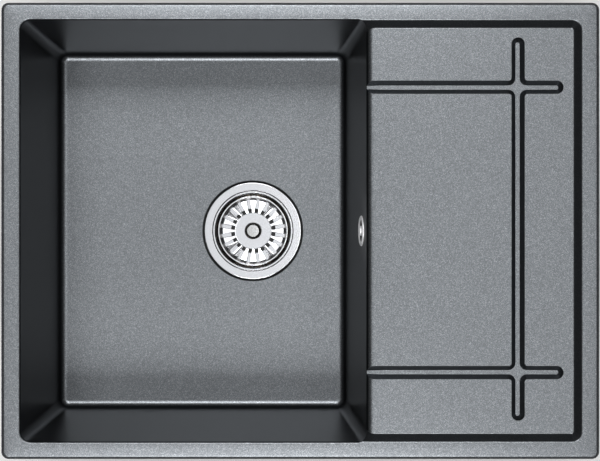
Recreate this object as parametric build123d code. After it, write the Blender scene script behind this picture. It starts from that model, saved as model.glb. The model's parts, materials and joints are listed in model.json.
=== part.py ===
from build123d import *
import math
import os

# A drop-in composite kitchen sink: one bowl, a drainer, a basket strainer waste and an overflow.
# Millimetres. X runs along the rim towards the drainer, Y towards the back, Z up.
# The origin is the middle of the rim, in the plane where the rim lies on the worktop.

# Rim
rim_length = 650.0
rim_width = 496.0
rim_height = 10.0
rim_corner = 8.0
rim_round = 4.0
rim_inner_round = 3.0
rim_left = 21.0
rim_side = 19.0

# Bowl, measured at the rim's top
bowl_length = 378.0
bowl_depth = 190.0
bowl_draft = 6.5
bowl_corner = 11.0
bowl_floor_round = 9.0
bowl_under_bevel = 12.0
wall = 8.0
floor_thickness = 9.0

# Drainer, a shallow tray beside the bowl
drainer_depth = 10.0
drainer_slope_run = 8.0
drainer_floor_corner = 3.0
drainer_floor_round = 2.5
drainer_thickness = 11.0
drainer_margin = 5.0
lip_round = 8.5

# Grooves in the drainer, one across and two along
groove_depth = 5.0
groove_floor_width = 3.5
groove_flare = 5.5
groove_end_flat = 0.005
groove_cross_round = 3.0
cross_groove_inset = 68.5
cross_groove_front_inset = 22.0
cross_groove_back_inset = 18.0
long_groove_inset = 19.0
long_groove_front_inset = 74.5
long_groove_back_inset = 72.4

# Seal under the rim
seal_width = 5.0
seal_height = 2.5
seal_inset = 2.5
seal_corner = 6.0
soft_gap = 0.1

# Waste flange and cup, pressed from sheet
drain_inset = 130.0
flange_radius = 57.0
flange_gap = 2.5
flange_recess = 4.0
flange_edge = 0.8
flange_lift = 0.2
sheet = 1.0
shoulder_run = 4.2
shoulder_drop = 4.2
shoulder_bend = 1.25
cup_radius = 43.2
cup_depth = 30.0
cup_clearance = 0.8
well_radius = 21.5
well_depth = 10.0
window_inner = 11.5
window_outer = 19.5
window_bar = 5.0
window_bar_count = 3

# Gaskets of the waste
flange_gasket_width = 7.6
flange_gasket_height = 1.8
waste_gasket_width = 10.0
waste_gasket_height = 3.0
drain_boss_width = 20.0
drain_boss_height = 3.0

# Bolt that draws the cup and the waste body together
bolt_radius = 5.9
bolt_head_flats = 17.0
bolt_head_height = 5.0
bolt_length = 24.0
bolt_socket_depth = 14.0
bolt_hole_gap = 0.4
thread_gap = 0.05
insert_radius = 8.5
insert_height = 12.0

# Basket
basket_sheet = 0.8
basket_gap = 2.0
basket_drop = 5.0
basket_rim_width = 1.6
basket_rim_drop = 1.6
basket_rim_fold = 1.0
basket_wall_run = 2.4
basket_bend = 2.0
basket_floor_radius = 21.5
basket_floor_rise = 2.1
slot_count = 20
slot_width = 4.2
slot_inner = 22.0
slot_rise = 9.0

# Plug seal, its nut, the stem and the knob
plug_overlap = 5.0
plug_height = 4.0
plug_lip = 1.5
nut_flats = 15.0
nut_height = 3.0
stem_radius = 3.0
stem_fit = 0.1
stem_end_gap = 2.2
knob_radius = 10.0
knob_top_radius = 7.0
knob_head_height = 6.0
knob_waist_radius = 5.5
knob_foot_radius = 7.5
knob_height = 16.0
knob_cover = 4.0
ring_height = 1.2
ring_depth = 0.6
ring_above_end = 6.0

# Waste body under the bowl, and the funnel below it
waste_wall = 2.5
waste_clearance = 1.3
waste_flange_height = 4.0
waste_flange_width = 12.0
waste_skirt = 46.0
waste_funnel = 17.0
outlet_radius = 23.9
outlet_length = 23.0
hub_wall = 3.5
hub_drop = 6.8
spoke_count = 3
spoke_width = 4.0
spoke_height = 10.0

# Overflow in the wall between bowl and drainer
overflow_depth = 50.0
rosette_radius = 17.0
rosette_height = 3.0
rosette_bevel = 1.8
rosette_ring = 4.5
rosette_bar = 7.0
rosette_bar_drop = 1.0
rosette_hub = 5.6
collar_length = 6.0
collar_wall = 1.2
collar_gap = 0.5
overflow_hole = 14.0
overflow_screw_radius = 2.4
overflow_screw_head = 4.6
overflow_screw_cone = 2.2
overflow_screw_slot = 1.2
overflow_screw_length = 34.0
overflow_gasket_height = 2.0
elbow_flange_radius = 24.0
elbow_flange_height = 4.0
elbow_radius = 17.0
elbow_depth = 29.0
elbow_wall = 2.5
elbow_post_radius = 5.0
elbow_post_length = 14.0
elbow_mouth_drop = 36.0

# Overflow pipe and its two compression joints
pipe_radius = 11.0
pipe_wall = 1.5
pipe_bend = 30.0
pipe_fit = 0.15
pipe_entry = 14.0
inlet_drop = 29.0
inlet_length = 28.0
socket_wall = 2.8
joint_seal_height = 4.0
joint_nut_wall = 3.6
joint_nut_grip = 9.0
joint_nut_lip = 4.0
joint_nut_side_count = 12

# Fixing clips under the drainer
worktop_thickness = 28.0
clip_width = 18.0
clip_sheet = 2.0
clip_toe = 34.0
clip_heel = 13.0
clip_toe_lip = 4.0
clip_bend = 2.5
clip_gap = 0.2
clip_boss_radius = 9.0
clip_boss_height = 11.0
clip_insert_flats = 8.0
clip_insert_height = 10.0
clip_screw_radius = 2.45
clip_screw_flats = 8.0
clip_screw_head_height = 3.5
clip_hole_gap = 0.3
side_clip_inset = 30.0
side_clip_y = 150.0
edge_clip_inset = 32.0
edge_clip_from_end = 130.0

# How far a cutter or a buried end runs past the face it meets, and what counts as the same place
overcut = 1.0
near = 0.01


def block(x0, x1, y0, y1, z0, z1):
    return Pos((x0 + x1) / 2, (y0 + y1) / 2, (z0 + z1) / 2) * Box(x1 - x0, y1 - y0, z1 - z0)


def disc(radius, z0, z1, x=0.0, y=0.0):
    return Pos(x, y, (z0 + z1) / 2) * Cylinder(radius, abs(z1 - z0))


def ring(outer, inner, z0, z1, x=0.0, y=0.0):
    return disc(outer, z0, z1, x, y) - disc(inner, z0, z1, x, y)


def hexagon(flats, z0, z1):
    across = RegularPolygon(flats / 2, 6, major_radius=False)
    return extrude(Pos(0, 0, z0) * across, z1 - z0)


def turned(*lines):
    edges = [edge for line in lines for edge in line.edges()]
    return revolve(make_face(edges), Axis.Z)


def point(radius, z):
    return Vector(radius, 0, z)


def quarter(centre, radius, start, stop):
    def at(degrees):
        turn = math.radians(degrees)
        return centre + Vector(radius * math.cos(turn), 0, radius * math.sin(turn))

    return ThreePointArc(at(start), at((start + stop) / 2), at(stop))


def upright_edges(form):
    return [e for e in form.edges() if abs((e @ 0).Z - (e @ 1).Z) > near]


def side_faces(form):
    return [f for f in form.faces() if abs(f.normal_at().Z) < 1 - near]


def lowest_edges(form):
    return form.edges().group_by(Axis.Z)[0]


def highest_edges(form):
    return form.edges().group_by(Axis.Z)[-1]


# Levels and outlines that follow from the driving dimensions
draft_run = math.tan(math.radians(bowl_draft))
slope_angle = math.degrees(math.atan2(drainer_slope_run, drainer_depth))
opening_x0 = -rim_length / 2 + rim_left
opening_x1 = rim_length / 2 - rim_side
opening_y = rim_width / 2 - rim_side
bowl_x1 = opening_x0 + bowl_length
bowl_floor_z = rim_height - bowl_depth
bowl_under_z = bowl_floor_z - floor_thickness
drainer_z = rim_height - drainer_depth
drainer_under_z = drainer_z - drainer_thickness
cross_groove_x = opening_x1 - cross_groove_inset
long_groove_ys = (long_groove_front_inset - opening_y, opening_y - long_groove_back_inset)
drain_x = bowl_x1 - drain_inset

# Waste levels, from the recess in the bowl's floor downwards
recess_z = bowl_floor_z - flange_recess
flange_z = recess_z + flange_gasket_height + sheet
seat_z = flange_z - cup_depth
well_z = seat_z - well_depth
boss_z = bowl_under_z - drain_boss_height
waste_top_z = boss_z - waste_gasket_height
skirt_z = waste_top_z - waste_flange_height - waste_skirt
funnel_z = skirt_z - waste_funnel
outlet_z = funnel_z - outlet_length
inlet_z = waste_top_z - waste_flange_height - inlet_drop
hub_top_z = well_z - hub_drop
bolt_end_z = well_z - bolt_length

# Radii round the drain
cup_outer = cup_radius + sheet
drain_radius = cup_outer + cup_clearance
shoulder_radius = cup_radius + shoulder_run
boss_radius = drain_radius + drain_boss_width
waste_inner = cup_outer + waste_clearance
waste_outer = waste_inner + waste_wall
hub_radius = insert_radius + hub_wall

# Basket levels
basket_z = flange_z - basket_drop
basket_radius = cup_radius - basket_gap
basket_floor_z = seat_z + plug_height
plug_radius = well_radius + plug_overlap
nut_z = seat_z - nut_height
bolt_head_z = well_z + bolt_head_height
socket_z = bolt_head_z - bolt_socket_depth
stem_end_z = socket_z + stem_end_gap
socket_radius = stem_radius + stem_fit
ring_z = stem_end_z + ring_above_end

# Overflow axis, square to the drafted wall
wall_tilt = math.radians(bowl_draft)
overflow_plane = Plane(
    origin=(bowl_x1 - overflow_depth * draft_run, 0, rim_height - overflow_depth),
    x_dir=(0, 1, 0),
    z_dir=(-math.cos(wall_tilt), 0, math.sin(wall_tilt)),
)
wall_back = -wall * math.cos(wall_tilt)
elbow_front = wall_back - overflow_gasket_height
housing_front = elbow_front - elbow_flange_height
housing_back = elbow_front - elbow_depth
housing_middle = (housing_front + housing_back) / 2
spigot_centre = overflow_plane.from_local_coords((0, 0, housing_middle))
pipe_x = spigot_centre.X
mouth_z = spigot_centre.Z - elbow_mouth_drop
inlet_end = drain_x + waste_inner + inlet_length
pipe_bore = pipe_radius - pipe_wall
socket_bore = pipe_radius + pipe_fit
socket_outer = socket_bore + socket_wall

# Clip levels and places: name, pivot, direction of the toe when swung in
strip_z = -worktop_thickness - clip_toe_lip
boss_under_z = drainer_under_z - clip_boss_height
side_clip_x = rim_length / 2 - side_clip_inset
edge_clip_x = rim_length / 2 - edge_clip_from_end
edge_clip_y = rim_width / 2 - edge_clip_inset
clip_places = (
    ("right_front_clip", side_clip_x, -side_clip_y, 90),
    ("right_back_clip", side_clip_x, side_clip_y, -90),
    ("front_clip", edge_clip_x, -edge_clip_y, 0),
    ("back_clip", edge_clip_x, edge_clip_y, 0),
)


def on_wall(form):
    return overflow_plane.location * form


def bowl_form(grow, top_z, bottom_z):
    y1 = opening_y + grow
    form = block(opening_x0 - grow, bowl_x1 + grow, -y1, y1, bottom_z, top_z)
    form = draft(side_faces(form), Plane.XY.offset(rim_height), -bowl_draft)
    return fillet(upright_edges(form), bowl_corner + grow)


def drainer_form(bottom_z):
    inset = drainer_slope_run
    y1 = opening_y - inset
    form = block(opening_x0 + inset, opening_x1 - inset, -y1, y1, bottom_z, rim_height)
    if bottom_z == drainer_z:
        form = fillet(upright_edges(form), drainer_floor_corner)
    return draft(side_faces(form), Plane.XY.offset(drainer_z), -slope_angle)


def lip_cutter():
    # The round between the drainer's floor and the bowl's wall, fading into the drainer's slopes
    lean = lip_round / math.cos(wall_tilt) - lip_round * draft_run
    centre = point(bowl_x1 - drainer_depth * draft_run + lean, drainer_z - lip_round)
    arc = quarter(centre, lip_round, 180 - bowl_draft, 90)
    start, end = arc @ 0, arc @ 1
    above = drainer_z + lip_round
    clear_x = start.X - lip_round
    outline = Polyline(end, point(end.X, above), point(clear_x, above), point(clear_x, start.Z), start)
    cutter = extrude(make_face([arc, *outline.edges()]), opening_y, both=True)
    return cutter & drainer_form(drainer_z - 2 * lip_round)


def groove_cutter():
    # The flat bottoms of the three grooves as one plan, with its sides flared upwards
    half = groove_floor_width / 2
    margin = half + groove_flare

    def run(x0, x1, y0, y1):
        span = Pos((x0 + x1) / 2, (y0 + y1) / 2) * Rectangle(x1 - x0 + 2 * half, y1 - y0 + 2 * half)
        return fillet(span.vertices(), half - groove_end_flat / 2)

    low = cross_groove_front_inset - opening_y + margin
    high = opening_y - cross_groove_back_inset - margin
    plan = run(cross_groove_x, cross_groove_x, low, high)
    for y in long_groove_ys:
        plan += run(bowl_x1 - 2 * lip_round, opening_x1 - long_groove_inset - margin, y, y)
    crossings = [
        v
        for v in plan.vertices()
        if abs(abs(v.X - cross_groove_x) - half) < near
        and min(abs(abs(v.Y - y) - half) for y in long_groove_ys) < near
    ]
    plan = fillet(crossings, groove_cross_round + groove_flare)
    floor_z = drainer_z - groove_depth
    form = extrude(Pos(0, 0, floor_z) * plan, groove_depth + overcut)
    flare_angle = math.degrees(math.atan2(groove_flare, groove_depth))
    return draft(side_faces(form), Plane.XY.offset(floor_z), -flare_angle)


def rim_frame(inset, inner_inset, z0, z1):
    def outline(edge):
        x = rim_length / 2 - edge
        y = rim_width / 2 - edge
        form = block(-x, x, -y, y, z0, z1)
        return fillet(upright_edges(form), seal_corner + seal_inset - edge)

    return outline(inset) - outline(inner_inset)


def sink_basin():
    rim = block(-rim_length / 2, rim_length / 2, -rim_width / 2, rim_width / 2, 0, rim_height)
    rim = fillet(upright_edges(rim), rim_corner)
    rim = fillet(highest_edges(rim), rim_round)
    pan_y = opening_y + drainer_margin
    pan_x = opening_x1 + drainer_margin
    pan = block(bowl_x1 - bowl_corner, pan_x, -pan_y, pan_y, drainer_under_z, rim_height / 2)
    pan = fillet(upright_edges(pan), bowl_corner)
    shell = bowl_form(wall, rim_height / 2, bowl_under_z)
    shell = chamfer(lowest_edges(shell), bowl_under_bevel)
    form = rim + pan + shell
    form += disc(boss_radius, boss_z, bowl_floor_z - bowl_floor_round / 2, drain_x)
    for _, x, y, _ in clip_places:
        form += disc(clip_boss_radius, boss_under_z, drainer_under_z + overcut, x, y)
    form -= fillet(lowest_edges(drainer_form(drainer_z)), drainer_floor_round)
    form -= fillet(lowest_edges(bowl_form(0, rim_height, bowl_floor_z)), bowl_floor_round)
    form -= lip_cutter()
    form -= groove_cutter()
    top = form.faces().filter_by(Axis.Z).sort_by(Axis.Z)[-1]
    form = fillet(top.inner_wires()[0].edges(), rim_inner_round)
    form -= disc(flange_radius + flange_gap, recess_z, bowl_floor_z + overcut, drain_x)
    form -= disc(drain_radius, boss_z - overcut, bowl_floor_z, drain_x)
    form -= on_wall(disc(overflow_hole, wall_back - overcut, overcut))
    seal_end = seal_inset + seal_width
    form -= rim_frame(seal_inset - soft_gap, seal_end + soft_gap, -overcut, seal_height)
    pocket_z = boss_under_z + clip_insert_height
    pocket = hexagon(clip_insert_flats + 2 * thread_gap, boss_under_z - overcut, pocket_z)
    for _, x, y, _ in clip_places:
        form -= Pos(x, y, 0) * pocket
    return form


def rim_seal():
    return rim_frame(seal_inset, seal_inset + seal_width, 0, seal_height)


# The other side of a pressed sheet, from the line's end back to its start: corners move along their mitres
def other_side(line, thickness):
    runs = [(after - before).normalized() for before, after in zip(line, line[1:])]
    moved = []
    for corner, run_in, run_out in zip(line, runs[:1] + runs, runs + runs[-1:]):
        mitre = run_in + run_out
        moved.append(corner + Vector(-mitre.Z, 0, mitre.X) * (2 * thickness / mitre.length**2))
    return moved[::-1]


def strainer_cup():
    upper = (
        point(flange_radius, recess_z + flange_lift),
        point(flange_radius, flange_z - flange_edge),
        point(flange_radius - flange_edge, flange_z),
        point(shoulder_radius, flange_z),
        point(cup_radius + shoulder_bend, flange_z - shoulder_bend),
        point(cup_radius, flange_z - shoulder_drop),
        point(cup_radius, seat_z),
        point(well_radius, seat_z),
        point(well_radius, well_z),
        point(bolt_radius + bolt_hole_gap, well_z),
    )
    form = turned(Polyline(*upper, *other_side(upper, sheet), close=True))
    windows = Circle(window_outer) - Circle(window_inner)
    bar = Rectangle(3 * window_outer, window_bar)
    for index in range(window_bar_count):
        windows -= Rot(0, 0, 180 / window_bar_count * index) * bar
    form -= extrude(Pos(0, 0, well_z - 2 * sheet) * windows, 3 * sheet)
    return Pos(drain_x, 0, 0) * form


def flange_gasket():
    outer = shoulder_radius + flange_gasket_width
    return ring(outer, shoulder_radius, recess_z, flange_z - sheet, drain_x)


def waste_gasket():
    return ring(waste_outer + waste_gasket_width, waste_inner, waste_top_z, boss_z, drain_x)


def waste_bolt():
    form = hexagon(bolt_head_flats, well_z, bolt_head_z)
    form += disc(bolt_radius, bolt_end_z, well_z)
    form -= disc(socket_radius, socket_z, bolt_head_z)
    return Pos(drain_x, 0, 0) * form


def bolt_insert():
    bottom = hub_top_z - insert_height
    return ring(insert_radius, bolt_radius + thread_gap, bottom, hub_top_z, drain_x)


def waste_body():
    form = turned(
        Polyline(
            point(waste_inner, waste_top_z),
            point(waste_outer + waste_flange_width, waste_top_z),
            point(waste_outer + waste_flange_width, waste_top_z - waste_flange_height),
            point(waste_outer, waste_top_z - waste_flange_height),
            point(waste_outer, skirt_z),
            point(waste_inner, skirt_z),
            close=True,
        )
    )
    spoke_z = hub_top_z - insert_height
    spoke_end = waste_inner + waste_wall / 2
    side = spoke_width / 2
    spoke = block(0, spoke_end, -side, side, spoke_z, spoke_z + spoke_height)
    for index in range(spoke_count):
        form += Rot(0, 0, 360 / spoke_count * (index + 0.5)) * spoke
    form += disc(hub_radius, spoke_z - hub_wall, hub_top_z)
    form -= disc(insert_radius + thread_gap, spoke_z, hub_top_z)
    form -= disc(bolt_radius + bolt_hole_gap, spoke_z - hub_wall, spoke_z)
    inlet = Pos(0, 0, inlet_z) * Rot(0, 90, 0)
    inlet_x = waste_inner + inlet_length
    form += inlet * disc(socket_outer, spoke_end, inlet_x)
    form -= inlet * disc(pipe_bore, waste_inner - waste_wall, inlet_x)
    form -= inlet * disc(socket_bore, inlet_x - pipe_entry, inlet_x)
    return Pos(drain_x, 0, 0) * form


def waste_funnel():
    outlet_bore = outlet_radius - waste_wall
    form = turned(
        Polyline(
            point(waste_inner, skirt_z),
            point(waste_outer, skirt_z),
            point(outlet_radius, funnel_z),
            point(outlet_radius, outlet_z),
            point(outlet_bore, outlet_z),
            point(outlet_bore, funnel_z + waste_wall / 2),
            close=True,
        )
    )
    return Pos(drain_x, 0, 0) * form


def basket_shell():
    floor_top = basket_floor_z + basket_sheet
    bend_z = floor_top + basket_floor_rise
    foot = basket_radius - basket_rim_width - basket_wall_run
    rim = (
        point(basket_radius - basket_rim_fold, basket_z - basket_rim_drop),
        point(basket_radius, basket_z - basket_rim_drop),
        point(basket_radius, basket_z),
    )
    inside = (
        point(basket_radius - basket_rim_width, basket_z),
        point(foot, bend_z + basket_bend),
        point(foot - basket_bend, bend_z),
        point(basket_floor_radius, floor_top),
        point(stem_radius + stem_fit, floor_top),
    )
    outside = other_side(inside, basket_sheet)[:-1]
    form = turned(Polyline(*rim, *inside, *outside, close=True))
    side = slot_width / 2
    slot = block(slot_inner, basket_radius, -side, side, basket_floor_z - overcut, basket_floor_z + slot_rise)
    form -= [Rot(0, 0, 360 / slot_count * (index + 0.5)) * slot for index in range(slot_count)]
    return Pos(drain_x, 0, 0) * form


def basket_seal():
    form = ring(plug_radius, stem_radius + stem_fit, seat_z, basket_floor_z)
    rims = form.edges().filter_by(GeomType.CIRCLE)
    upper = rims.sort_by(lambda e: (e.radius, e.center().Z))[-1]
    return Pos(drain_x, 0, 0) * chamfer(upper, plug_lip)


def seal_nut():
    form = hexagon(nut_flats, nut_z, seat_z) - disc(stem_radius + thread_gap, nut_z, seat_z)
    return Pos(drain_x, 0, 0) * form


def basket_stem():
    knob_z = basket_floor_z + basket_sheet
    form = disc(stem_radius, stem_end_z, knob_z + knob_height - knob_cover)
    groove_top = ring_z + ring_height + 2 * stem_fit
    form -= ring(stem_radius + overcut, stem_radius - ring_depth, ring_z, groove_top)
    return Pos(drain_x, 0, 0) * form


def stem_clip():
    bottom = ring_z + stem_fit
    outer = stem_radius + stem_fit / 2
    return ring(outer, outer - ring_depth, bottom, bottom + ring_height, drain_x)


def basket_knob():
    foot_z = basket_floor_z + basket_sheet
    top_z = foot_z + knob_height
    edge = knob_radius - knob_top_radius
    head_z = top_z - knob_head_height
    waist_z = (head_z + foot_z) / 2
    bore = stem_radius + thread_gap
    bore_z = top_z - knob_cover
    form = turned(
        Polyline(
            point(0, top_z),
            point(knob_top_radius, top_z),
            point(knob_radius, top_z - edge),
            point(knob_radius, head_z),
            point(knob_waist_radius, waist_z),
            point(knob_foot_radius, foot_z),
            point(bore, foot_z),
            point(bore, bore_z),
            point(0, bore_z),
            close=True,
        )
    )
    return Pos(drain_x, 0, 0) * form


def screw_cone(gap):
    middle = rosette_height - overflow_screw_cone / 2
    narrow = overflow_screw_radius + gap
    return Pos(0, 0, middle) * Cone(narrow, overflow_screw_head + gap, overflow_screw_cone)


def overflow_rosette():
    inner = rosette_radius - rosette_ring
    face = disc(rosette_radius, 0, rosette_height)
    face = chamfer(highest_edges(face), rosette_bevel)
    face -= disc(inner, 0, rosette_height)
    side = rosette_bar / 2
    reach = inner + overcut
    face += block(-side, side, -reach, reach, 0, rosette_height - rosette_bar_drop)
    face += disc(rosette_hub, 0, rosette_height)
    collar = overflow_hole - collar_gap
    face += ring(collar, collar - collar_wall, -collar_length, overcut)
    face -= disc(overflow_screw_radius + bolt_hole_gap, -overcut, rosette_height)
    return on_wall(face - screw_cone(bolt_hole_gap))


def overflow_screw():
    head_z = rosette_height - overflow_screw_cone
    end_z = rosette_height - overflow_screw_length
    form = screw_cone(0) + disc(overflow_screw_radius, end_z, head_z + overcut)
    side = overflow_screw_slot / 2
    reach = overflow_screw_head
    slot_z = rosette_height - overflow_screw_slot
    return on_wall(form - block(-reach, reach, -side, side, slot_z, rosette_height))


def overflow_gasket():
    return on_wall(ring(elbow_flange_radius, overflow_hole, elbow_front, wall_back))


def overflow_elbow():
    form = disc(elbow_flange_radius, housing_front, elbow_front)
    form += disc(elbow_radius, housing_back, housing_front + overcut)
    form = on_wall(form) + disc(socket_outer, mouth_z, spigot_centre.Z, pipe_x)
    inside = housing_back + elbow_wall
    form -= on_wall(disc(overflow_hole, inside, elbow_front))
    form -= disc(pipe_bore, mouth_z, spigot_centre.Z, pipe_x)
    form -= disc(socket_bore, mouth_z, mouth_z + pipe_entry, pipe_x)
    form += on_wall(disc(elbow_post_radius, inside - overcut, inside + elbow_post_length))
    return form - on_wall(disc(overflow_screw_radius + thread_gap, inside, elbow_front))


def overflow_pipe():
    corner = point(pipe_x, inlet_z)
    path = Polyline(point(inlet_end - pipe_entry, inlet_z), corner, point(pipe_x, mouth_z + pipe_entry))
    path = fillet(path.vertices().sort_by_distance(corner)[0], pipe_bend)
    start = Plane(origin=path @ 0, z_dir=path % 0)
    return sweep(start * (Circle(pipe_radius) - Circle(pipe_bore)), path=path)


def joint_seal():
    return ring(socket_outer, pipe_radius + pipe_fit / 2, 0, joint_seal_height)


def joint_nut():
    bore = socket_outer + pipe_fit
    outer = bore + joint_nut_wall
    length = joint_nut_grip + joint_seal_height + joint_nut_lip
    grip = RegularPolygon(outer, joint_nut_side_count, major_radius=False)
    form = extrude(Pos(0, 0, -joint_nut_grip) * grip, length)
    form -= disc(bore, -joint_nut_grip, joint_seal_height)
    return form - disc(pipe_radius + pipe_fit, joint_seal_height, length)


# A compression joint's frame starts at the socket's mouth and points along the pipe
inlet_joint = Pos(inlet_end, 0, inlet_z) * Rot(0, 90, 0)
elbow_joint = Pos(pipe_x, 0, mouth_z) * Rot(180, 0, 0)


def fixing_clip():
    heel_z = drainer_under_z - clip_gap
    under_z = strip_z - clip_sheet
    outline = Polyline(
        (-clip_heel, under_z),
        (clip_toe, under_z),
        (clip_toe, -worktop_thickness),
        (clip_toe - clip_sheet, -worktop_thickness),
        (clip_toe - clip_sheet, strip_z),
        (clip_sheet - clip_heel, strip_z),
        (clip_sheet - clip_heel, heel_z),
        (-clip_heel, heel_z),
        close=True,
    )
    profile = make_face(outline)
    bends = [v for v in profile.vertices() if abs(v.Y - under_z) < near]
    profile = fillet(bends, clip_bend)
    form = extrude(Plane.XZ * profile, clip_width / 2, both=True)
    return form - disc(clip_screw_radius + clip_hole_gap, under_z - overcut, strip_z + overcut)


def clip_screw(x, y):
    under_z = strip_z - clip_sheet
    form = hexagon(clip_screw_flats, under_z - clip_screw_head_height, under_z)
    form += disc(clip_screw_radius, under_z, boss_under_z + clip_insert_height)
    return Pos(x, y, 0) * form


def clip_insert(x, y):
    top = boss_under_z + clip_insert_height
    form = hexagon(clip_insert_flats, boss_under_z, top)
    form -= disc(clip_screw_radius + thread_gap, boss_under_z, top)
    return Pos(x, y, 0) * form


parts = {
    "sink_basin": sink_basin(),
    "rim_seal": rim_seal(),
    "strainer_cup": strainer_cup(),
    "flange_gasket": flange_gasket(),
    "waste_gasket": waste_gasket(),
    "waste_body": waste_body(),
    "waste_funnel": waste_funnel(),
    "waste_bolt": waste_bolt(),
    "bolt_insert": bolt_insert(),
    "basket_shell": basket_shell(),
    "basket_seal": basket_seal(),
    "seal_nut": seal_nut(),
    "basket_stem": basket_stem(),
    "stem_clip": stem_clip(),
    "basket_knob": basket_knob(),
    "overflow_rosette": overflow_rosette(),
    "overflow_screw": overflow_screw(),
    "overflow_gasket": overflow_gasket(),
    "overflow_elbow": overflow_elbow(),
    "overflow_pipe": overflow_pipe(),
    "inlet_seal": inlet_joint * joint_seal(),
    "inlet_nut": inlet_joint * joint_nut(),
    "elbow_seal": elbow_joint * joint_seal(),
    "elbow_nut": elbow_joint * joint_nut(),
    "clip_screws": Compound([clip_screw(x, y).solid() for _, x, y, _ in clip_places]),
    "clip_inserts": Compound([clip_insert(x, y).solid() for _, x, y, _ in clip_places]),
}
for name, x, y, turn in clip_places:
    parts[name] = Pos(x, y, 0) * Rot(0, 0, turn) * fixing_clip()

os.makedirs("parts", exist_ok=True)
for name, shape in parts.items():
    export_step(shape, f"parts/{name}.step")
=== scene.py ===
import bmesh
import bpy
import json
import math
import numpy as np
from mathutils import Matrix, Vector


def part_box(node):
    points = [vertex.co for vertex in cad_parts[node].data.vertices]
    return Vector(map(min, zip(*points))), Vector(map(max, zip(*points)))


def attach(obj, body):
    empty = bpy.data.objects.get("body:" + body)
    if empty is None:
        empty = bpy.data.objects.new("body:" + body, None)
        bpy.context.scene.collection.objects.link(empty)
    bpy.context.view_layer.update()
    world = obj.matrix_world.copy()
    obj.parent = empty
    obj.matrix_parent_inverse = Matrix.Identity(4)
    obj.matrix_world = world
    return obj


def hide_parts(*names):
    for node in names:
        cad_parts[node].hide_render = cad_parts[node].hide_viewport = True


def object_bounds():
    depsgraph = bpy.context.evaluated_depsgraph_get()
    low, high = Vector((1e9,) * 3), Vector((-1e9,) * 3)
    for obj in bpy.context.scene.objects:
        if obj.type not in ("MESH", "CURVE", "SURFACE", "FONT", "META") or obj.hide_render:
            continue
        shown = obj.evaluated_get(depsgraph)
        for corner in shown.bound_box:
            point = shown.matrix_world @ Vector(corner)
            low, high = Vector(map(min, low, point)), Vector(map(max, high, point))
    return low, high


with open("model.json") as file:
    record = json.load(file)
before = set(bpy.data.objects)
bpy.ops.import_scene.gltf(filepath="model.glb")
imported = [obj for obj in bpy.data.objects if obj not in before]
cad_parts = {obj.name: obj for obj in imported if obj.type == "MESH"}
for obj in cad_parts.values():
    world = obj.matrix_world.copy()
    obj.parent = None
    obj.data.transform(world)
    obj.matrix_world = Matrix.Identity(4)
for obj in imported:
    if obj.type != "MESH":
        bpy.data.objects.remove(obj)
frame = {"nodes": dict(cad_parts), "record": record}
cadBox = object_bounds()
nodes = frame["nodes"]
behaviour = frame["record"]["behaviour"]
bodyOf = {node: body for body, held in behaviour["bodies"].items() for node in held}
slotOf = {sub["node"]: sub["material_slot"] for sub in frame["record"]["subparts"]}
scene = bpy.context.scene
scene.view_settings.view_transform = "Standard"
mm = 0.001
print("frame loaded:", len(nodes), "CAD nodes")


# an sRGB hex colour as linear light: c / 12.92 when it is dark, otherwise ((c + 0.055) / 1.055) ** 2.4
def toLinear(hexText):
    c = np.array([int(hexText[i:i + 2], 16) for i in (1, 3, 5)]) / 255
    lin = np.where(c <= 0.04045, c / 12.92, ((c + 0.055) / 1.055) ** 2.4)
    return (*lin.tolist(), 1.0)


# adds one node, sets its properties and sockets, and links what is given as a socket
def addNode(tree, kind, sockets=None, **settings):
    node = tree.nodes.new(kind)
    for key, value in settings.items():
        setattr(node, key, value)
    for key, value in (sockets or {}).items():
        if isinstance(value, bpy.types.NodeSocket):
            tree.links.new(value, node.inputs[key])
        else:
            node.inputs[key].default_value = value
    return node


# a material with an empty node tree
def newMaterial(name):
    mat = bpy.data.materials.new(name)
    mat.use_nodes = True
    mat.node_tree.nodes.clear()
    return mat, mat.node_tree


# the camera looks straight down, as in the photograph
photoView = {"height": 2.195, "rimTop": 0.010, "frameWide": 0.65106, "aimX": -0.0003, "aimY": 0.0004,
             "sensor": 36.0, "far": 50.0}
cam = bpy.data.objects.new("camera", bpy.data.cameras.new("camera"))
cam.data.sensor_fit = "HORIZONTAL"
cam.data.sensor_width = photoView["sensor"]
cam.data.lens = photoView["sensor"] * (photoView["height"] - photoView["rimTop"]) / photoView["frameWide"]
cam.data.clip_end = photoView["far"]
cam.location = (photoView["aimX"], photoView["aimY"], photoView["height"])
scene.collection.objects.link(cam)
scene.camera = cam
print("camera set")

# the studio: softboxes behind, in front and weakly at both ends, a pale ceiling straight above, dim sides
studio = {"air": "#fdfeff", "sides": 0.12, "ceiling": 1.15, "ceilingFrom": 0.98, "ground": "#f4f4f3",
          "groundRoughness": 0.7, "groundDrop": 1 * mm, "groundHalf": 12.0}
softboxes = {"boxBack": {"x": -0.1, "y": 1.2, "z": 2.1, "long": 1.0, "wide": 0.7, "watts": 31.0},
             "boxFront": {"x": -0.1, "y": -1.2, "z": 2.1, "long": 1.0, "wide": 0.7, "watts": 31.0},
             "boxRight": {"x": 0.95, "y": 0.0, "z": 2.1, "long": 1.2, "wide": 0.5, "watts": 4.0},
             "boxLeft": {"x": -0.95, "y": 0.0, "z": 2.1, "long": 1.2, "wide": 0.5, "watts": 4.2},
             "boxDrainer": {"x": 0.3, "y": 0.0, "z": 2.6, "long": 0.7, "wide": 0.25, "watts": 2.2}}
world = bpy.data.worlds.new("studio")
scene.world = world
world.use_nodes = True
tree = world.node_tree
tree.nodes.clear()
way = addNode(tree, "ShaderNodeTexCoord")
parts = addNode(tree, "ShaderNodeSeparateXYZ", {"Vector": way.outputs["Generated"]})
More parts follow.
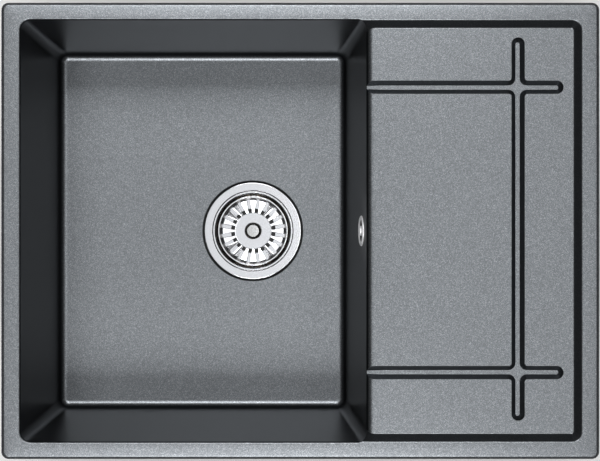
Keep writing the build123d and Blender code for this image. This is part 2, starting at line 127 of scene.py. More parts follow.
rise = addNode(tree, "ShaderNodeMapRange",
               {"Value": parts.outputs["Z"], "From Min": studio["ceilingFrom"], "From Max": 1.0,
                "To Min": studio["sides"], "To Max": studio["ceiling"]})
room = addNode(tree, "ShaderNodeBackground",
               {"Color": toLinear(studio["air"]), "Strength": rise.outputs[0]})
addNode(tree, "ShaderNodeOutputWorld", {"Surface": room.outputs[0]})

for name, spec in softboxes.items():
    lamp = bpy.data.lights.new(name, "AREA")
    lamp.shape = "RECTANGLE"
    alongX = spec["y"] != 0
    lamp.size = spec["long"] if alongX else spec["wide"]
    lamp.size_y = spec["wide"] if alongX else spec["long"]
    lamp.energy = spec["watts"]
    box = bpy.data.objects.new(name, lamp)
    box.location = (spec["x"], spec["y"], spec["z"])
    box.rotation_euler = (-math.atan2(spec["y"], spec["z"]), math.atan2(spec["x"], spec["z"]), 0)
    scene.collection.objects.link(box)

half = studio["groundHalf"]
groundZ = cadBox[0][2] - studio["groundDrop"]
groundMesh = bpy.data.meshes.new("studioFloor")
groundMesh.from_pydata([(-half, -half, groundZ), (half, -half, groundZ),
                        (half, half, groundZ), (-half, half, groundZ)], [], [(0, 1, 2, 3)])
ground = bpy.data.objects.new("studioFloor", groundMesh)
scene.collection.objects.link(ground)
mat, tree = newMaterial("paintedStudioFloor")  # matt paint, so that only a soft shadow shows on it
skin = addNode(tree, "ShaderNodeBsdfPrincipled",
               {"Base Color": toLinear(studio["ground"]), "Roughness": studio["groundRoughness"]})
addNode(tree, "ShaderNodeOutputMaterial", {"Surface": skin.outputs[0]})
groundMesh.materials.append(mat)
print("studio lit")

# the drain's axis, which the waste's pieces and their materials share
cupLow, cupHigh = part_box("strainer_cup")
drain = ((cupLow[0] + cupHigh[0]) / 2, (cupLow[1] + cupHigh[1]) / 2)

# noise: how many layers it has, the part of its range that is used, and how far it moves a roughness
grainy = {"fine": 2.0, "cloudy": 3.0, "low": 0.3, "high": 0.7, "duller": 1.15, "glossier": 0.85, "deep": 0.3}


# quartz and acrylic composite with mica, moulded: satin grey with pale grit, drawn as coarse as it needs to
# show. Its mica flakes mirror as metal does. Its slopes are painted darker than its level faces: painted
# shade. Raw at its underside, it is matt and nearly black, and the same matt black is painted shade in the
# drain's recess
composite = {"dark": "#636669", "pale": "#909498", "slopeShade": "#45474a", "edge": "#e4e4e4", "grit": 0.6 * mm,
             "rare": 3.0, "steep": 0.5, "level": 0.82, "roughness": 0.36,
             "raw": "#1c1d1e", "rawRoughness": 0.75, "rawShine": 0.2, "rawBump": 0.4}


def makeComposite():
    mat, tree = newMaterial("quartzComposite")
    way = addNode(tree, "ShaderNodeTexCoord")
    cells = addNode(tree, "ShaderNodeTexVoronoi",
                    {"Vector": way.outputs["Object"], "Scale": 1 / composite["grit"]})
    drawn = addNode(tree, "ShaderNodeSeparateColor", {"Color": cells.outputs["Color"]})
    fleck = addNode(tree, "ShaderNodeMath", {0: drawn.outputs["Red"], 1: composite["rare"]},
                    operation="POWER")
    flat = addNode(tree, "ShaderNodeMix", {"Factor": fleck.outputs[0], "A": toLinear(composite["dark"]),
                                           "B": toLinear(composite["pale"])}, data_type="RGBA")
    # painted shade: slopes take the darker slopeShade colour by how far their normal leans from up
    facing = addNode(tree, "ShaderNodeSeparateXYZ", {"Vector": way.outputs["Normal"]})
    level = addNode(tree, "ShaderNodeMapRange",
                    {"Value": facing.outputs["Z"], "From Min": composite["steep"],
                     "From Max": composite["level"]}, interpolation_type="SMOOTHSTEP")
    tint = addNode(tree, "ShaderNodeMix", {"Factor": level.outputs[0], "A": toLinear(composite["slopeShade"]),
                                           "B": flat.outputs["Result"]}, data_type="RGBA")
    satin = addNode(tree, "ShaderNodeBsdfPrincipled",
                    {"Base Color": tint.outputs["Result"], "Metallic": 1.0,
                     "Roughness": composite["roughness"], "Specular Tint": toLinear(composite["edge"])})
    bump = addNode(tree, "ShaderNodeBump",
                   {"Height": drawn.outputs["Green"], "Strength": composite["rawBump"],
                    "Distance": composite["grit"] * grainy["deep"]})
    raw = addNode(tree, "ShaderNodeBsdfPrincipled",
                  {"Base Color": toLinear(composite["raw"]), "Roughness": composite["rawRoughness"],
                   "Specular IOR Level": composite["rawShine"], "Normal": bump.outputs[0]})
    # faces marked rawAndShadedFace take the raw black: real at the underside, painted shade in the drain's
    # recess
    rawAndShadedFace = addNode(tree, "ShaderNodeAttribute", attribute_name="rawAndShadedFace")
    skin = addNode(tree, "ShaderNodeMixShader",
                   {0: rawAndShadedFace.outputs["Fac"], 1: satin.outputs[0], 2: raw.outputs[0]})
    addNode(tree, "ShaderNodeOutputMaterial", {"Surface": skin.outputs[0]})
    return mat


# pressed and turned stainless steel: bright, with turning lines round the drain that are drawn coarser than
# they are, so that they show, and painted shade, a dark brownish colour, on its steep faces and on the faces
# marked as inside
def makeTurned(name, spec):
    mat, tree = newMaterial(name)
    way = addNode(tree, "ShaderNodeTexCoord")
    place = addNode(tree, "ShaderNodeVectorMath",
                    {0: way.outputs["Object"], 1: (drain[0], drain[1], 0)}, operation="SUBTRACT")
    flat = addNode(tree, "ShaderNodeVectorMath", {0: place.outputs[0], 1: (1, 1, 0)}, operation="MULTIPLY")
    radius = addNode(tree, "ShaderNodeVectorMath", {0: flat.outputs[0]}, operation="LENGTH")
    rings = addNode(tree, "ShaderNodeTexNoise",
                    {"W": radius.outputs["Value"], "Scale": 1 / spec["line"], "Detail": grainy["fine"]},
                    noise_dimensions="1D")
    bright = addNode(tree, "ShaderNodeMix", {"Factor": rings.outputs["Fac"], "A": toLinear(spec["dark"]),
                                             "B": toLinear(spec["pale"])}, data_type="RGBA")
    # painted shade: steep faces and faces marked inside take the paintedShade colour
    facing = addNode(tree, "ShaderNodeSeparateXYZ", {"Vector": way.outputs["Normal"]})
    slopeShade = addNode(tree, "ShaderNodeMath", {0: facing.outputs["Z"]}, operation="ABSOLUTE")
    levelFaces = addNode(tree, "ShaderNodeMapRange",
                    {"Value": slopeShade.outputs[0], "From Min": spec["steep"], "From Max": spec["level"]},
                    interpolation_type="SMOOTHSTEP")
    inside = addNode(tree, "ShaderNodeAttribute", attribute_name="inside")
    unshadedFaces = addNode(tree, "ShaderNodeMath", {0: levelFaces.outputs[0], 1: inside.outputs["Fac"]},
                    operation="SUBTRACT", use_clamp=True)
    tint = addNode(tree, "ShaderNodeMix", {"Factor": unshadedFaces.outputs[0], "A": toLinear(spec["paintedShade"]),
                                           "B": bright.outputs["Result"]}, data_type="RGBA")
    gloss = addNode(tree, "ShaderNodeMapRange",
                    {"Value": rings.outputs["Fac"], "From Min": grainy["low"], "From Max": grainy["high"],
                     "To Min": spec["roughness"] * grainy["glossier"],
                     "To Max": spec["roughness"] * grainy["duller"]})
    skin = addNode(tree, "ShaderNodeBsdfPrincipled",
                   {"Base Color": tint.outputs["Result"], "Metallic": 1.0, "Roughness": gloss.outputs[0]})
    addNode(tree, "ShaderNodeOutputMaterial", {"Surface": skin.outputs[0]})
    return mat


# moulded plastic, rubber and plated metal: a colour that drifts a little, and a grain that breaks its gloss,
# drawn coarser than it is so that it shows. A finish with a paintedShade colour takes it as painted shade on
# the faces marked as inside
def makeMoulded(name, spec):
    mat, tree = newMaterial(name)
    place = addNode(tree, "ShaderNodeTexCoord").outputs["Object"]
    drift = addNode(tree, "ShaderNodeTexNoise",
                    {"Vector": place, "Scale": 1 / spec["drift"], "Detail": grainy["cloudy"]})
    grain = addNode(tree, "ShaderNodeTexNoise",
                    {"Vector": place, "Scale": 1 / spec["grain"], "Detail": grainy["fine"]})
    tint = addNode(tree, "ShaderNodeMix", {"Factor": drift.outputs["Fac"], "A": toLinear(spec["dark"]),
                                           "B": toLinear(spec["pale"])}, data_type="RGBA")
    if "paintedShade" in spec:
        inside = addNode(tree, "ShaderNodeAttribute", attribute_name="inside")
        tint = addNode(tree, "ShaderNodeMix", {"Factor": inside.outputs["Fac"], "A": tint.outputs["Result"],
                                               "B": toLinear(spec["paintedShade"])}, data_type="RGBA")
    gloss = addNode(tree, "ShaderNodeMapRange",
                    {"Value": drift.outputs["Fac"], "From Min": grainy["low"], "From Max": grainy["high"],
                     "To Min": spec["roughness"] * grainy["glossier"],
                     "To Max": spec["roughness"] * grainy["duller"]})
    bump = addNode(tree, "ShaderNodeBump", {"Height": grain.outputs["Fac"], "Strength": spec["bump"],
                                            "Distance": spec["grain"] * grainy["deep"]})
    skin = addNode(tree, "ShaderNodeBsdfPrincipled",
                   {"Base Color": tint.outputs["Result"], "Metallic": spec["metallic"],
                    "Roughness": gloss.outputs[0], "Normal": bump.outputs[0]})
    addNode(tree, "ShaderNodeOutputMaterial", {"Surface": skin.outputs[0]})
    return mat


# satin chrome is pale and mirrors only softly, with painted shade black in its holes, nitrile rubber is dull
# and black, foam full of small closed cells, polypropylene waxy, zinc plate mottled and cool, brass warm and
# a bit tarnished
chrome = {"dark": "#e2e3e5", "pale": "#f6f6f7", "paintedShade": "#0c0c0c", "metallic": 0.3, "roughness": 0.34,
          "drift": 6 * mm, "grain": 1.0 * mm, "bump": 0.02}
rubber = {"dark": "#0f0f10", "pale": "#1c1c1d", "metallic": 0.0, "roughness": 0.65,
          "drift": 9 * mm, "grain": 0.6 * mm, "bump": 0.25}
foam = {"dark": "#242426", "pale": "#3a3a3c", "metallic": 0.0, "roughness": 0.9,
        "drift": 3 * mm, "grain": 1.2 * mm, "bump": 0.8}
blackPlastic = {"dark": "#16171a", "pale": "#222326", "metallic": 0.0, "roughness": 0.42,
                "drift": 25 * mm, "grain": 0.8 * mm, "bump": 0.12}
whitePlastic = {"dark": "#dedfda", "pale": "#ecece6", "metallic": 0.0, "roughness": 0.38,
                "drift": 30 * mm, "grain": 0.9 * mm, "bump": 0.08}
zinc = {"dark": "#9fa5a8", "pale": "#c4c8c6", "metallic": 1.0, "roughness": 0.36,
        "drift": 4 * mm, "grain": 0.7 * mm, "bump": 0.1}
brass = {"dark": "#b08c45", "pale": "#d2b16a", "metallic": 1.0, "roughness": 0.3,
         "drift": 3 * mm, "grain": 0.5 * mm, "bump": 0.08}
# brushed and polished stainless: their paintedShade colours are painted shade on steep and inside faces
brushed = {"dark": "#b2b3b3", "pale": "#cbcccc", "paintedShade": "#8f8b84", "steep": 0.2, "level": 0.6,
           "roughness": 0.24, "line": 0.35 * mm}
polished = {"dark": "#c9cacd", "pale": "#dfe0e4", "paintedShade": "#4d463e", "steep": 0.3, "level": 0.75,
            "roughness": 0.13, "line": 0.5 * mm}
finishes = {
    "composite": makeComposite(),
    "stainless": makeTurned("turnedStainless", brushed),
    "polished_stainless": makeTurned("polishedStainless", polished),
    "chrome": makeMoulded("satinChrome", chrome),
    "rubber": makeMoulded("nitrileRubber", rubber),
    "foam_seal": makeMoulded("closedCellFoam", foam),
    "black_plastic": makeMoulded("blackPolypropylene", blackPlastic),
    "white_plastic": makeMoulded("whitePolypropylene", whitePlastic),
    "zinc_steel": makeMoulded("zincPlatedSteel", zinc),
    "brass": makeMoulded("freeCuttingBrass", brass),
}
for node, slot in slotOf.items():
    for holder in nodes[node].material_slots:
        holder.material = finishes[slot]
print("materials on")


# quads between neighbouring rows and columns of a grid of points, wrapped round where a direction closes
def gridFaces(rows, cols, wrapRows=False, wrapCols=False):
    i = np.arange(rows if wrapRows else rows - 1)[:, None]
    j = np.arange(cols if wrapCols else cols - 1)[None, :]
    below, beside = (i + 1) % rows, (j + 1) % cols
    corners = [i * cols + j, i * cols + beside, below * cols + beside, below * cols + j]
    return np.stack(corners, -1).reshape(-1, 4)


# puts a mesh into the scene as the piece that stands for a CAD node, on its body and with its finish
def standFor(node, name, mesh):
    mesh.materials.append(finishes[slotOf[node]])
    piece = bpy.data.objects.new(name, mesh)
    scene.collection.objects.link(piece)
    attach(piece, bodyOf[node])
    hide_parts(node)
    print(name, "made:", len(mesh.polygons), "faces")
    return piece


# what counts as one spot, in metres or, in an outline, in millimetres, and up to what angle a piece is smooth
joining = {"merge": 1e-7, "thin": 1e-8, "outlineMerge": 1e-6, "smoothTo": 40, "edgedTo": 30}


# one piece from grids of points and faces: seams and poles closed, faces outward, smooth up to an angle
def makePiece(node, name, grids, smoothTo=joining["smoothTo"]):
    starts = np.cumsum([0] + [len(points) for points, _ in grids])
    points = np.concatenate([points for points, _ in grids])
    faces = np.concatenate([quads + start for (_, quads), start in zip(grids, starts)])
    mesh = bpy.data.meshes.new(name)
    mesh.from_pydata(points.tolist(), [], faces.tolist())
    made = bmesh.new()
    made.from_mesh(mesh)
    bmesh.ops.remove_doubles(made, verts=made.verts, dist=joining["merge"])
    bmesh.ops.dissolve_degenerate(made, edges=made.edges, dist=joining["thin"])
    bmesh.ops.recalc_face_normals(made, faces=made.faces)
    made.to_mesh(mesh)
    made.free()
    mesh.shade_smooth()
    mesh.set_sharp_from_angle(angle=math.radians(smoothTo))
    return standFor(node, name, mesh)


# the middles of a piece's faces, or their normals, as x, y, z
def faceValues(piece, what="center"):
    values = np.empty(len(piece.data.polygons) * 3)
    piece.data.polygons.foreach_get(what, values)
    return values.reshape(-1, 3).T


# marks faces of a piece for its material
def markFaces(piece, name, marked):
    mark = piece.data.attributes.new(name, "FLOAT", "FACE")
    mark.data.foreach_set("value", marked.astype(np.float32))


# angles in degrees: up to flat, faces are joined, and from fold on, an edge is eased
easing = {"merge": 0.002 * mm, "flat": 0.6, "fold": 30.0, "steps": 3, "flatWeight": 100}


# a CAD node's loose triangles merged and its flat faces joined
def mergedNode(node):
    made = bmesh.new()
    made.from_mesh(nodes[node].data)
    bmesh.ops.remove_doubles(made, verts=made.verts, dist=easing["merge"])
    bmesh.ops.dissolve_limit(made, angle_limit=math.radians(easing["flat"]),
                             verts=made.verts, edges=made.edges)
    return made


# a merged CAD mesh as a piece: every fold eased by a bevel, and normals that keep its flat faces flat
def easedPiece(node, name, made, width):
    mesh = bpy.data.meshes.new(name)
    made.to_mesh(mesh)
    made.free()
    mesh.shade_smooth()
    piece = standFor(node, name, mesh)
    ease = piece.modifiers.new("ease", "BEVEL")
    ease.width = width
    ease.segments = easing["steps"]
    ease.limit_method = "ANGLE"
    ease.angle_limit = math.radians(easing["fold"])
    steady = piece.modifiers.new("steady", "WEIGHTED_NORMAL")
    steady.mode = "FACE_AREA"
    steady.weight = easing["flatWeight"]
    return piece


# an outline with rounded corners, each given as (r, z, round): a corner's arc is the rational curve
# ((1-s)^2 A + 2 w s (1-s) P + s^2 B) / ((1-s)^2 + 2 w s (1-s) + s^2), with A and B on its two sides and
# w = sin(half angle)
def roundOutline(corners, closed=True, steps=6):
    spot = np.array([c[:2] for c in corners], float)
    size = np.array([c[2] if len(c) > 2 else 0.0 for c in corners])
    if not closed:
        size[[0, -1]] = 0.0
    back, ahead = np.roll(spot, 1, 0) - spot, np.roll(spot, -1, 0) - spot
    back /= np.linalg.norm(back, axis=1)[:, None]
    ahead /= np.linalg.norm(ahead, axis=1)[:, None]
    half = np.arccos(np.clip((back * ahead).sum(1), -1, 1)) / 2
    reach = (size / np.tan(half))[:, None, None]
    s = np.linspace(0, 1, steps + 1)[None, :, None]
    weigh = np.sin(half)[:, None, None]
    mid = spot[:, None]
    start, stop = mid + back[:, None] * reach, mid + ahead[:, None] * reach
    share = (1 - s) ** 2, 2 * weigh * s * (1 - s), s ** 2
    line = ((share[0] * start + share[1] * mid + share[2] * stop) / sum(share)).reshape(-1, 2)
    keep = np.linalg.norm(line - np.roll(line, 1, 0), axis=1) > joining["outlineMerge"]
    keep[0] = True
    return line[keep]


# local millimetres carried to a place in the frame: p = origin + x across + y along + z out
def carry(points, place):
    axes = np.array([place["across"], place["along"], place["out"]])
    return np.array(place["origin"]) + points.reshape(-1, 3) * mm @ axes


# an upright place on the axis through (x, y)
def upright(x, y):
    return {"origin": (x, y, 0), "across": (1, 0, 0), "along": (0, 1, 0), "out": (0, 0, 1)}


# an outline turned about a place's axis: x = R cos a, y = R sin a, R = min(r, limit(a)) + relief(z, a)
def turnOutline(outline, place, count=96, closed=True, limit=np.inf, relief=0.0):
    angle = np.arange(count) * 2 * np.pi / count
    r = np.minimum(outline[:, :1], limit + 0 * angle) + relief
    points = np.stack([r * np.cos(angle), r * np.sin(angle), outline[:, 1:] + 0 * angle], -1)
    return carry(points, place), gridFaces(len(outline), count, closed, True)


# the radius of a polygon with soft corners: ((flat / cos w)^-p + corner^-p)^(-1/p), w the angle from the
# middle of the nearest side
def sidedRadius(flat, sides, count, corner, power=60.0):
    angle = np.arange(count) * 2 * np.pi / count
    w = (angle + np.pi / sides) % (2 * np.pi / sides) - np.pi / sides
    return ((flat / np.cos(w)) ** -power + corner ** -power) ** (-1 / power)


# how far a thread cuts in below its crest: deep (1 - cos(2 pi z / pitch - a)) / 2, one row for each z
def threadCut(z, spec):
    angle = np.arange(spec["count"]) * 2 * np.pi / spec["count"]
    return spec["deep"] * (1 - np.cos(2 * np.pi * z[:, None] / spec["pitch"] - angle)) / 2


# a line of corners with points added so that no gap is longer than a step, and each point's length along it
def evenLine(line, step):
    parts = np.maximum(np.ceil(np.linalg.norm(np.diff(line, axis=0), axis=1) / step), 1).astype(int)
    i = np.repeat(np.arange(len(parts)), parts)
    share = (np.arange(len(i)) - np.repeat(np.cumsum(parts) - parts, parts)) / parts[i]
    full = np.concatenate([line[i] + (line[i + 1] - line[i]) * share[:, None], line[-1:]])
    return full, np.concatenate([[0], np.cumsum(np.linalg.norm(np.diff(full, axis=0), axis=1))])


# how far a slot is open along its length: 0 outside, 1 inside, with ends rounded as (1 - (1 - d)^p)^(1/p)
def slotOpening(s, start, stop, cap, power=2.5):
    inward = np.clip(np.minimum(s - start, stop - s) / cap, 0, 1)
    return (1 - (1 - inward) ** power) ** (1 / power)


# a pressed sheet of revolution with slots: line (r, z) is its one side, the other lies a thickness along the
# normal (-dz, dr). Half of each slot and rib is a grid with columns at a = edge + (rib - edge) v, from the
# slot's edge to the rib's middle, and rows with an edge get a wall between both sides, rounded over by a lip
def slottedSheet(line, thick, count, edge, columns, lip=0.3):
    run = np.gradient(line, axis=0)
    run /= np.linalg.norm(run, axis=1)[:, None]
    normal = np.stack([-run[:, 1], run[:, 0]], -1)
    rib = np.pi / count
    a = edge[:, None] + (rib - edge[:, None]) * np.array(columns)
    inward = np.clip((a - edge[:, None]) * line[:, :1] / lip, 0, 1)
    dip = np.where(edge[:, None] > 0, lip * (1 - np.sqrt(1 - (1 - inward) ** 2)), 0)
    depth = np.stack([dip, thick - dip])
    spot = line[None, :, None] + normal[None, :, None] * depth[..., None]
    side = np.array([-1, 1])[None, :, None, None, None]
    turn = ((2 * np.arange(count) + 1) * rib)[:, None, None, None, None] + side * a
    r = spot[..., 0] * mm
    points = np.stack([drain[0] + r * np.cos(turn), drain[1] + r * np.sin(turn),
                       np.broadcast_to(spot[..., 1] * mm, turn.shape[:2] + r.shape)], -1)
    rows, cols = a.shape
    sheet = gridFaces(rows, cols)
    i, j = np.arange(rows - 1), np.arange(cols - 1)
    isOpen = (edge[:-1] > 0) | (edge[1:] > 0)
    wall = np.stack([i * cols, (i + 1) * cols, (rows + i + 1) * cols, (rows + i) * cols], -1)[isOpen]
    caps = [np.stack([k + j, k + j + 1, k + j + 1 + rows * cols, k + j + rows * cols], -1)
            for k in (0, (rows - 1) * cols)]
    block = np.concatenate([sheet, sheet + rows * cols, wall, *caps])
    starts = np.arange(2 * count) * 2 * rows * cols
    return points.reshape(-1, 3), (block[None] + starts[:, None, None]).reshape(-1, 4)


# the basin: its rim crowned, its grooves made steeper and its folds eased, with undersides raw and matt
# black, and its drain recess painted the same matt black as painted shade.
# Crown: z falls by crown u^2 z / rimTop, u from 0 at the opening's edge to 1 at the rim's outer edge.
# Grooves: their floors' corners have z times grooveDeepen, and move outward, against the level part of their
# normals, by grooveWiden
basin = {"openLeft": -304.0 * mm, "openRight": 306.0 * mm, "openBack": 229.0 * mm, "rimTop": 10.0 * mm,
         "rimWide": 19.0 * mm, "crown": 0.6 * mm, "crownCuts": 5, "trayFrom": 90.0 * mm,
         "trayMargin": 1.0 * mm, "grooveLow": -5.1 * mm, "grooveHigh": -0.1 * mm, "grooveDeepen": 1.3,
         "grooveWiden": 0.55 * mm, "ease": 0.9 * mm, "bowlMiddle": (-115.0 * mm, 0.0),
         "rawBelow": -0.5 * mm, "rawUnder": -0.3, "rawUpright": 0.5, "recess": 59.8 * mm,
         "recessTop": -180.3 * mm}
made = mergedNode("sink_basin")
cuts = [((basin["trayFrom"], 0, 0), (1, 0, 0))]
for out in np.linspace(0, basin["rimWide"], basin["crownCuts"] + 1)[1:-1]:
    cuts += [((basin["openRight"] + out, 0, 0), (1, 0, 0)), ((basin["openLeft"] - out, 0, 0), (1, 0, 0)),
             ((0, basin["openBack"] + out, 0), (0, 1, 0)), ((0, -basin["openBack"] - out, 0), (0, 1, 0))]
for spot, across in cuts:
    whole = made.verts[:] + made.edges[:] + made.faces[:]
    bmesh.ops.bisect_plane(made, geom=whole, plane_co=spot, plane_no=across)
sink = easedPiece("sink_basin", "sinkBasin", made, basin["ease"])
spots = np.empty(len(sink.data.vertices) * 3)
sink.data.vertices.foreach_get("co", spots)
x, y, z = spots.reshape(-1, 3).T
out = np.max([x - basin["openRight"], basin["openLeft"] - x, np.abs(y) - basin["openBack"]], 0)
u = np.clip(out / basin["rimWide"], 0, None)
z -= basin["crown"] * u ** 2 * np.clip(z / basin["rimTop"], 0, 1)
onTray = (x > basin["trayFrom"] - basin["trayMargin"]) & (out < 0)
inGroove = onTray & (z > basin["grooveLow"]) & (z < basin["grooveHigh"])
z[inGroove] *= basin["grooveDeepen"]
slant = np.empty(len(x) * 3)
sink.data.vertices.foreach_get("normal", slant)
slant = slant.reshape(-1, 3)[inGroove, :2].T
x[inGroove], y[inGroove] = [x[inGroove], y[inGroove]] - basin["grooveWiden"] * slant / np.hypot(*slant)
sink.data.vertices.foreach_set("co", np.stack([x, y, z], -1).ravel())
sink.data.update()
nx, ny, nz = faceValues(sink, "normal")
mx, my, mz = faceValues(sink)
leaving = nx * (mx - basin["bowlMiddle"][0]) + ny * (my - basin["bowlMiddle"][1])
outerWall = (leaving > 0) & (np.abs(nz) < basin["rawUpright"]) & (mz < basin["rawBelow"])
# the recess round the drain's flange is marked with the raw faces: its matt black is painted shade, a dark
# gap ring
recessShade = (np.hypot(mx - drain[0], my - drain[1]) < basin["recess"]) & (mz < basin["recessTop"])
markFaces(sink, "rawAndShadedFace", (nz < basin["rawUnder"]) | outerWall | recessShade)

# the basket: a rolled rim, a steep wall and a shallow slotted floor round a flat middle, pressed from sheet
basket = {"sheet": 0.7, "rimWide": 1.6, "rimRound": 0.3, "rimDrop": 1.6, "wallRun": 2.5, "floorRise": 3.1,
          "bend": 1.6, "floorRadius": 21.5, "floorBend": 6.0, "stem": 3.1, "floorSheet": 0.8, "slots": 20,
          "slotWide": 4.2, "slotInner": 21.8, "slotRise": 9.0, "slotCap": 0.8, "step": 0.45, "arcSteps": 8,
          "columns": (0, 0.05, 0.12, 0.35, 0.7, 1)}
low, high = (np.array(corner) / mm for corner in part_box("basket_shell"))
rimR, floorZ = (high[0] - low[0]) / 2, low[2] + basket["floorSheet"]
wallR = rimR - basket["rimWide"]
outline = roundOutline([(rimR, high[2] - basket["rimDrop"]), (rimR, high[2], basket["rimRound"]),
                        (wallR, high[2], basket["rimRound"]),
                        (wallR - basket["wallRun"], floorZ + basket["floorRise"], basket["bend"]),
                        (basket["floorRadius"], floorZ, basket["floorBend"]), (basket["stem"], floorZ)],
                       False, basket["arcSteps"])
line, s = evenLine(outline, basket["step"])
slotTop = s[np.argmax(line[:, 1] < low[2] + basket["slotRise"])]
slotEnd = s[np.argmax(line[:, 0] < basket["slotInner"])]
opening = slotOpening(s, slotTop, slotEnd, basket["slotCap"])
edge = np.arcsin(opening * basket["slotWide"] / 2 / line[:, 0])
makePiece("basket_shell", "basketShell",
          [slottedSheet(line, basket["sheet"], basket["slots"], edge, basket["columns"])])

# the strainer cup: a flat flange, a fine crease, a bead at the cup's mouth, a seat and a windowed well. Its
# wall and seat deep in the gap round the basket are marked inside for painted shade
cup = {"sheet": 1.0, "edge": 0.7, "lift": 0.2, "recess": 2.8, "crease": 47.35, "creaseHalf": 0.6,
       "creaseDeep": 1.2, "creaseRound": 0.1, "creaseFold": 0.05, "beadInner": 45.0, "beadRound": 0.2,
       "radius": 43.2, "mouth": 3.8, "mouthRound": 3.0, "depth": 30.0, "seatRound": 1.2, "well": 21.5,
       "wellDeep": 10.0, "wellRound": 1.1, "wellFoot": 1.2, "bolt": 6.3, "windows": 6, "windowInner": 11.5,
       "windowOuter": 19.5, "windowCap": 0.8, "barHalf": 2.5, "floorMargin": 0.1, "step": 0.5, "columns": 13,
       "shadeFrom": 38.8, "shadeBelow": 6.0}
flangeR, top = (cupHigh[0] - cupLow[0]) / 2 / mm, cupHigh[2] / mm
seatZ, wellZ = top - cup["depth"], top - cup["depth"] - cup["wellDeep"]
outline = roundOutline([(flangeR, top - cup["recess"] + cup["lift"]), (flangeR, top, cup["edge"]),
                        (cup["crease"] + cup["creaseHalf"], top, cup["creaseRound"]),
                        (cup["crease"], top - cup["creaseDeep"], cup["creaseFold"]),
                        (cup["crease"] - cup["creaseHalf"], top, cup["creaseRound"]),
                        (cup["beadInner"], top, cup["beadRound"]),
                        (cup["radius"], top - cup["mouth"], cup["mouthRound"]),
                        (cup["radius"], seatZ, cup["seatRound"]), (cup["well"], seatZ, cup["wellRound"]),
                        (cup["well"], wellZ, cup["wellFoot"]), (cup["bolt"], wellZ)], False)
line, s = evenLine(outline, cup["step"])
inWell = line[:, 1] < wellZ + cup["floorMargin"]
opening = slotOpening(s, s[np.argmax(inWell & (line[:, 0] < cup["windowOuter"]))],
                      s[np.argmax(inWell & (line[:, 0] < cup["windowInner"]))], cup["windowCap"])
window = np.pi / cup["windows"] - np.arcsin(cup["barHalf"] / line[:, 0])
strainer = makePiece("strainer_cup", "strainerCup",
                     [slottedSheet(line, cup["sheet"], cup["windows"], opening * window,
                                   np.linspace(0, 1, cup["columns"]))])
# painted shade: faces deep in the gap between the cup wall and the basket are marked inside
mx, my, mz = faceValues(strainer)
beyond = np.hypot(mx - drain[0], my - drain[1]) > cup["shadeFrom"] * mm
markFaces(strainer, "inside", beyond & (mz < (top - cup["shadeBelow"]) * mm))

# the basket's knob: a flat top with a chamfered shoulder, undercut to a waist for two fingers
knob = {"top": 7.0, "topRound": 0.2, "shoulder": 3.4, "shoulderRound": 0.4, "head": 6.0, "headRound": 1.0,
        "waist": 5.5, "waistRound": 4.0, "foot": 7.5, "footRound": 0.6, "arcSteps": 8, "count": 72}
low, high = (np.array(corner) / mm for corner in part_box("basket_knob"))
knobR, headZ = (high[0] - low[0]) / 2, high[2] - knob["head"]
outline = roundOutline([(0, high[2]), (knob["top"], high[2], knob["topRound"]),
                        (knobR, high[2] - knob["shoulder"], knob["shoulderRound"]),
                        (knobR, headZ, knob["headRound"]),
                        (knob["waist"], (headZ + low[2]) / 2, knob["waistRound"]),
                        (knob["foot"], low[2], knob["footRound"]), (0, low[2])], False, knob["arcSteps"])
makePiece("basket_knob", "basketKnob", [turnOutline(outline, upright(*drain), knob["count"], False)])

# the overflow's rosette on the bowl's wall: a rounded ring, a bar up and down its middle, a hub and a collar
rosette = {"origin": (68.303 * mm, 0.0, -40.0 * mm), "tilt": 6.5, "ring": 17.0, "hole": 13.2, "ringHigh": 1.9,
           "ringRound": 1.7, "barHalf": 3.5, "barHigh": 1.4, "barRound": 0.8, "barReach": 13.7, "hub": 5.6,
           "hubHigh": 3.0, "hubRound": 0.8, "hubHole": 2.75, "seat": 4.9, "seatHigh": 0.8, "seatRound": 0.1,
           "collar": 13.5, "collarHole": 12.3, "collarDeep": -6.0, "collarTop": 0.5, "collarRound": 0.3,
           "hubCount": 48, "inside": 0.3}
lean = math.radians(rosette["tilt"])
onWall = {"origin": rosette["origin"], "across": (0, 1, 0), "along": (-math.sin(lean), 0, -math.cos(lean)),
          "out": (-math.cos(lean), 0, math.sin(lean))}
ring = roundOutline([(rosette["hole"], 0), (rosette["ring"], 0),
                     (rosette["ring"], rosette["ringHigh"], rosette["ringRound"]),
                     (rosette["hole"], rosette["ringHigh"], rosette["ringRound"])])
hub = roundOutline([(rosette["hubHole"], 0), (rosette["hub"], 0),
                    (rosette["hub"], rosette["hubHigh"], rosette["hubRound"]),
                    (rosette["seat"], rosette["hubHigh"], rosette["seatRound"]),
                    (rosette["hubHole"], rosette["seatHigh"], rosette["seatRound"])])
collar = roundOutline([(rosette["collarHole"], rosette["collarDeep"], rosette["collarRound"]),
                       (rosette["collar"], rosette["collarDeep"], rosette["collarRound"]),
                       (rosette["collar"], rosette["collarTop"]),
                       (rosette["collarHole"], rosette["collarTop"])])
across = roundOutline([(-rosette["barHalf"], 0), (rosette["barHalf"], 0),
                       (rosette["barHalf"], rosette["barHigh"], rosette["barRound"]),
                       (-rosette["barHalf"], rosette["barHigh"], rosette["barRound"])])
reach = rosette["barReach"]
# along the bar, its section is carried from one end to the other, shrunk to nothing at both to close them
ends = np.array([(-reach, 0), (-reach, 1), (reach, 1), (reach, 0)])
bar = np.stack([across[:, :1] * ends[:, 1], ends[:, 0] + 0 * across[:, :1], across[:, 1:] * ends[:, 1]], -1)
rose = makePiece("overflow_rosette", "overflowRosette",
                 [turnOutline(ring, onWall), turnOutline(hub, onWall, rosette["hubCount"]),
                  turnOutline(collar, onWall), (carry(bar, onWall), gridFaces(len(across), len(ends), True))])
